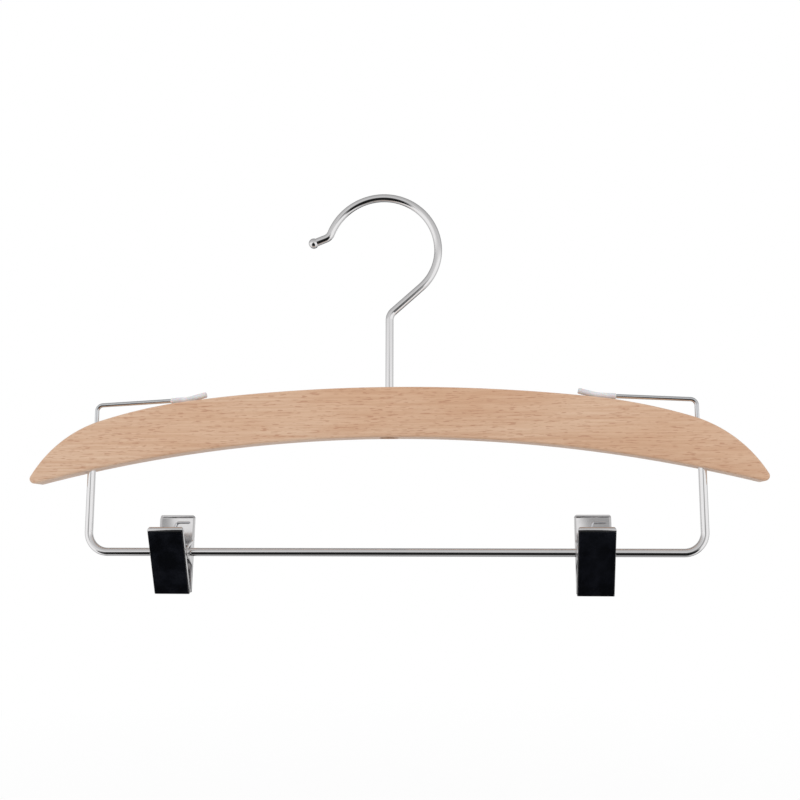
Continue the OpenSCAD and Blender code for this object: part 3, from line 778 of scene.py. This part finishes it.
beech.diffuse_color = srgb(199, 166, 139)

# %% [markdown]
# Plated wire and sheet
# Chrome is a mirror. What makes it look real is what it mirrors and the small
# waves that drawing and plating leave. The spring wire and the pressed sheet are
# a little duller, and the zinc of the hidden nut and washer is duller again.


# %% Make the metals
def metal(name, colour, rough_low, rough_high, wave, wave_scale):
    """A metal with faint rubs, and with waves of a height and a fineness."""
    finish, tree, shader = new_finish(name, Metallic=1.0, Base_Color=colour)
    rub = stretched_noise(tree, (wave_scale,) * 3, 4, 0.6)
    rough = spread(tree, rub, 0.3, 0.7, rough_low, rough_high)
    tree.links.new(rough, shader.inputs["Roughness"])
    ripple = stretched_noise(tree, (wave_scale * 2.5,) * 3, 2, 0.5, (1, 2, 3))
    bumped(tree, shader, ripple, wave, 0.5)
    finish.diffuse_color = colour
    return finish


chrome = metal("chrome_wire", (0.88, 0.87, 0.875, 1), 0.06, 0.12, 0.000006, 160)
spring_steel = metal("spring_wire_plate", (0.74, 0.75, 0.77, 1), 0.12, 0.2, 0.000008, 220)
plated = metal("plated_sheet", (0.80, 0.79, 0.795, 1), 0.1, 0.18, 0.000004, 220)
zinc = metal("zinc_steel", (0.62, 0.63, 0.65, 1), 0.28, 0.4, 0.00002, 400)

# %% Make the plastics, and the covers' painted dark reflection
soft_white, tree, shader = new_finish(
    "whitish_sleeve", Roughness=0.38, Subsurface_Weight=0.25, Subsurface_Scale=0.002, IOR=1.45)
cloud = spread(tree, stretched_noise(tree, (240, 240, 240), 3), 0.35, 0.65)
milky = mixed(tree, cloud, srgb(206, 206, 208), srgb(222, 222, 224))
tree.links.new(milky, shader.inputs["Base Color"])
tree.links.new(spread(tree, cloud, 0, 1, 0.32, 0.45), shader.inputs["Roughness"])
bumped(tree, shader, stretched_noise(tree, (900, 900, 900), 2), 0.00001, 0.4)

# The covers' near-black colour is painted reflection: it stands in for the dark room that the
# clips' plated faces mirror. The smudges in it are partly real marks and partly painted
# reflection.
dark_reflection_finish, tree, shader = new_finish("dark_reflection_paint", IOR=1.5, Specular_IOR_Level=0.3)
smudge_and_reflection = spread(tree, stretched_noise(tree, (110, 110, 110), 4, 0.6), 0.42, 0.7)
dark_reflection_tone = mixed(tree, smudge_and_reflection, srgb(8, 9, 12), srgb(17, 19, 26))
tree.links.new(dark_reflection_tone, shader.inputs["Base Color"])
tree.links.new(spread(tree, smudge_and_reflection, 0, 1, 0.1, 0.3), shader.inputs["Roughness"])
bumped(tree, shader, stretched_noise(tree, (500, 500, 500), 2), 0.000005, 0.3)


# %% Hand out the finishes
def give(finish, *pieces):
    """Put one finish on some pieces."""
    for piece in pieces:
        piece.data.materials.clear()
        piece.data.materials.append(finish)


give(beech, arc)
give(chrome, hook, bar)
give(zinc, nut, washer)
for name in SIDES:
    wire, sleeve = loop_pieces[name]
    give(spring_steel, wire, clip_pieces[name, "spring"])
    give(soft_white, sleeve)
    for which in ("front", "back"):
        jaw, cover = clip_pieces[name, which]
        give(plated, jaw)
        # the covers get the painted dark reflection of the jaws' faces
        give(dark_reflection_finish, cover)
print("finishes:", [m.name for m in bpy.data.materials if m.users])

# %% [markdown]
# The studio
# The hanger was photographed against white. The world is white where the camera
# sees it, and a soft grey light for the wood. For mirrors it is a room: light on
# all sides, greyer above and behind, with a grey card at the height of the eye
# and dark cards low down. Without them the chrome would have nothing to mirror
# and would look like white plastic.


# %% Light the world
def times(tree, a, b):
    """One value times another."""
    return calc(tree, "MULTIPLY", a, b)


def laid_over(tree, below, above, share):
    """Lay one light over another, as far as its share goes."""
    return calc(tree, "SUBTRACT", below, times(tree, share, calc(tree, "SUBTRACT", below, above)))


GREY_TONE, DARK_TONE = 0.38, 0.012
LEAST_AHEAD = 0.02  # keeps the division below finite straight to the side

world = bpy.data.worlds.new("studio")
bpy.context.scene.world = world
world.use_nodes = True
tree = world.node_tree
tree.nodes.clear()
spot = add_node(tree, "ShaderNodeTexCoord")
parts = add_node(tree, "ShaderNodeSeparateXYZ")
tree.links.new(spot.outputs["Generated"], parts.inputs[0])
to_x, to_y, to_z = parts.outputs
ahead = calc(tree, "MAXIMUM", calc(tree, "ABSOLUTE", to_y), LEAST_AHEAD)
sideways = calc(tree, "ABSOLUTE", calc(tree, "DIVIDE", to_x, ahead))

# The room: grey above, greyer at the very top, greyer towards the back, with a
# bright zone straight behind, and dim straight below.
room = spread(tree, to_z, 0.12, 0.36, 0.92, 0.6)
room = calc(tree, "SUBTRACT", room, spread(tree, to_z, 0.5, 0.95, 0, 0.14))
room = times(tree, room, spread(tree, to_y, -0.1, 0.5, 1, 0.57))
room = calc(tree, "ADD", room, spread(tree, to_y, 0.72, 0.92, 0, 0.35))
room = times(tree, room, spread(tree, to_z, -0.97, -0.8, 0.4, 1))

# The grey card: narrow, and not above the height of the eye.
grey_card = times(tree, spread(tree, sideways, 0.16, 0.28, 1, 0),
                  spread(tree, to_z, 0.15, 0.24, 1, 0))
room = laid_over(tree, room, GREY_TONE, grey_card)

# The dark cards: wider further down, and from the horizon nearly to the floor in
# front, but only halfway down behind.
reach = calc(tree, "SUBTRACT", sideways, spread(tree, to_z, -0.8, -0.3, 1.4, 0.0))
dark_card = times(tree, spread(tree, reach, 0.34, 0.6, 1, 0),
                  spread(tree, to_z, -0.98, -0.93))
dark_card = times(tree, dark_card, spread(tree, to_z, -0.12, 0.04, 1, 0))
not_deep = calc(tree, "MAXIMUM", spread(tree, to_y, 0.0, 0.1, 1, 0),
                spread(tree, to_z, -0.7, -0.5))
mirror_light = laid_over(tree, room, DARK_TONE, times(tree, dark_card, not_deep))

# Which light counts depends on who looks: a mirror, the camera or a matt surface.
soft_light = spread(tree, to_z, -0.6, 0.7, 0.42, 0.86)
path = add_node(tree, "ShaderNodeLightPath")
mirror_ray = calc(tree, "MAXIMUM", path.outputs["Is Glossy Ray"],
                  path.outputs["Is Transmission Ray"])
light = laid_over(tree, soft_light, mirror_light, mirror_ray)
light = laid_over(tree, light, 1.0, path.outputs["Is Camera Ray"])
glow = add_node(tree, "ShaderNodeBackground")
glow.inputs["Color"].default_value = grey(1)
tree.links.new(light, glow.inputs["Strength"])
out = add_node(tree, "ShaderNodeOutputWorld")
tree.links.new(glow.outputs[0], out.inputs[0])

# %% Hang the lamps
AIM = Vector((0, 0, -0.12))


def softbox(name, place, size, power):
    """A square lamp that shines at the hanger and isn't seen in mirrors."""
    let_go()
    bpy.ops.object.light_add(type="AREA", location=place)
    lamp = bpy.context.object
    lamp.name = name
    lamp.data.shape = "SQUARE"
    lamp.data.size = size
    lamp.data.energy = power
    lamp.visible_glossy = False
    lamp.rotation_euler = (AIM - Vector(place)).to_track_quat("-Z", "Y").to_euler()
    print(lamp.name, lamp.data.energy)


softbox("key", (-0.6, -1.0, 0.75), 0.9, 5.2)
softbox("fill", (0.9, -0.9, 0.2), 0.8, 2.5)
softbox("back", (0.3, 1.1, 0.6), 0.9, 2.6)

# %% [markdown]
# The floor
# A wide pale floor lies below. Near the hanger it shows the soft shadow, and
# further off it fades to the white of the world, so that the two run together.
# Mirrors look through it, as the world already holds all that they should show,
# and so does a camera that looks up from below it.

# %% Lay the floor
FLOOR_Z = cad_low.z - 0.15
FLOOR_SIZE = 8
WHITE_NEAR, WHITE_FAR = 0.86, 1.0  # how much of it is plain white to the camera

let_go()
bpy.ops.mesh.primitive_plane_add(size=FLOOR_SIZE, location=(0, 0, FLOOR_Z))
floor = bpy.context.object
floor.name = "floor"
paper = bpy.data.materials.new("paper_floor")
paper.use_nodes = True
tree = paper.node_tree
tree.nodes.clear()
matt = add_node(tree, "ShaderNodeBsdfDiffuse")
fibre = stretched_noise(tree, (60, 60, 60), 3)
tree.links.new(mixed(tree, fibre, grey(0.8), grey(0.86)), matt.inputs["Color"])
white = add_node(tree, "ShaderNodeEmission")
clear = add_node(tree, "ShaderNodeBsdfTransparent")

path = add_node(tree, "ShaderNodeLightPath")
spot = add_node(tree, "ShaderNodeTexCoord")
away = add_node(tree, "ShaderNodeVectorMath", operation="LENGTH")
tree.links.new(spot.outputs["Object"], away.inputs[0])
fade = spread(tree, away.outputs["Value"], 0.2, 0.7, WHITE_NEAR, WHITE_FAR)
white_share = times(tree, fade, path.outputs["Is Camera Ray"])
from_below = add_node(tree, "ShaderNodeNewGeometry").outputs["Backfacing"]
clear_share = calc(tree, "MAXIMUM", path.outputs["Is Glossy Ray"],
                   path.outputs["Is Transmission Ray"])
clear_share = calc(tree, "MAXIMUM", clear_share, from_below)

surface = matt.outputs[0]
for share, shown in ((white_share, white), (clear_share, clear)):
    both = add_node(tree, "ShaderNodeMixShader")
    for socket, value in zip(both.inputs, (share, surface, shown.outputs[0])):
        tree.links.new(value, socket)
    surface = both.outputs[0]
out = add_node(tree, "ShaderNodeOutputMaterial")
tree.links.new(surface, out.inputs["Surface"])
floor.data.materials.append(paper)

# %% [markdown]
# The camera
# The photograph was taken from the right of the middle, about level with the bar,
# looking up a little. The place and the lens were found by fitting the wires and
# the arc to the photograph.

# %% Set the camera
CAMERA_AT = Vector((46.75, -485.5, -171.5)) * MM
YAW, PITCH, ROLL = -4.883, 8.144, 0.08
FOCAL, SENSOR = 44.8, 36
CLIP_START = 0.01

yaw, pitch, roll = (math.radians(v) for v in (YAW, PITCH, ROLL))
forward = Vector((math.sin(yaw) * math.cos(pitch),
                  math.cos(yaw) * math.cos(pitch), math.sin(pitch)))
level = forward.cross(Vector((0, 0, 1))).normalized()
upright = level.cross(forward)
right = level * math.cos(roll) + upright * math.sin(roll)
up = upright * math.cos(roll) - level * math.sin(roll)
let_go()
bpy.ops.object.camera_add(location=CAMERA_AT)
camera = bpy.context.object
camera.data.lens = FOCAL
camera.data.sensor_width = SENSOR
camera.data.clip_start = CLIP_START
turned = Matrix((right, up, -forward)).transposed().to_4x4()
camera.matrix_world = Matrix.Translation(CAMERA_AT) @ turned
bpy.context.scene.camera = camera
bpy.context.scene.view_settings.view_transform = "Standard"
print("camera looks", [round(v, 3) for v in forward])

# %% Finish
let_go()
